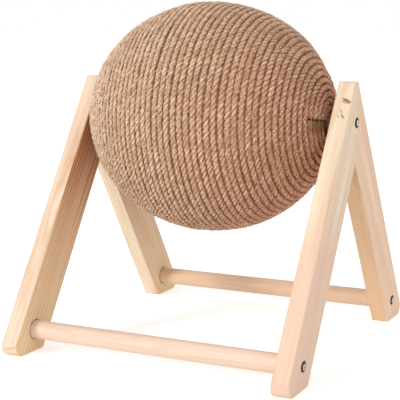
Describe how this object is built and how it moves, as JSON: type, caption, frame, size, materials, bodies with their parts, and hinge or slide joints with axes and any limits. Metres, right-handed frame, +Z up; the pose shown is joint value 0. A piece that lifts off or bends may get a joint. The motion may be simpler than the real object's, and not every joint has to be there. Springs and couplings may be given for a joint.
{
  "type": "cat scratcher",
  "caption": "Rope-wound ball that spins on a level axle between two wooden A-frames joined by round rails: a free-standing scratcher for a cat.",
  "frame": {"origin": "on the floor, below the middle of the stand", "axes": "+X along the axle from the left frame to the right one, +Y from front to back, +Z up; the picture looks from the front right"},
  "size_m": [0.2616, 0.2898, 0.2954],
  "materials": {
    "pine": "sanded, unvarnished",
    "zinc_steel": "zinc plated",
    "core_plastic": "matte",
    "tube_card": "wound card",
    "bush_plastic": "matte, self-lubricating",
    "sisal": "twisted natural fibre"
  },
  "bodies": {
    "stand": {"left_front_leg": "pine", "left_rear_leg": "pine", "right_front_leg": "pine", "right_rear_leg": "pine", "left_tip_pins": "pine", "right_tip_pins": "pine", "front_rail": "pine", "rear_rail": "pine", "front_rail_screws": "zinc_steel", "rear_rail_screws": "zinc_steel", "axle_rod": "zinc_steel", "axle_screws": "zinc_steel", "left_washer": "zinc_steel", "right_washer": "zinc_steel"},
    "ball": {"left_core_shell": "core_plastic", "right_core_shell": "core_plastic", "core_tube": "tube_card", "left_bush": "bush_plastic", "right_bush": "bush_plastic", "sisal_rope": "sisal"}
  },
  "joints": [
    {"name": "ball_spin", "type": "hinge", "parent": "stand", "child": "ball", "pos_m": [0, 0, 0.19539], "axis": [1, 0, 0], "continuous": true}
  ]
}
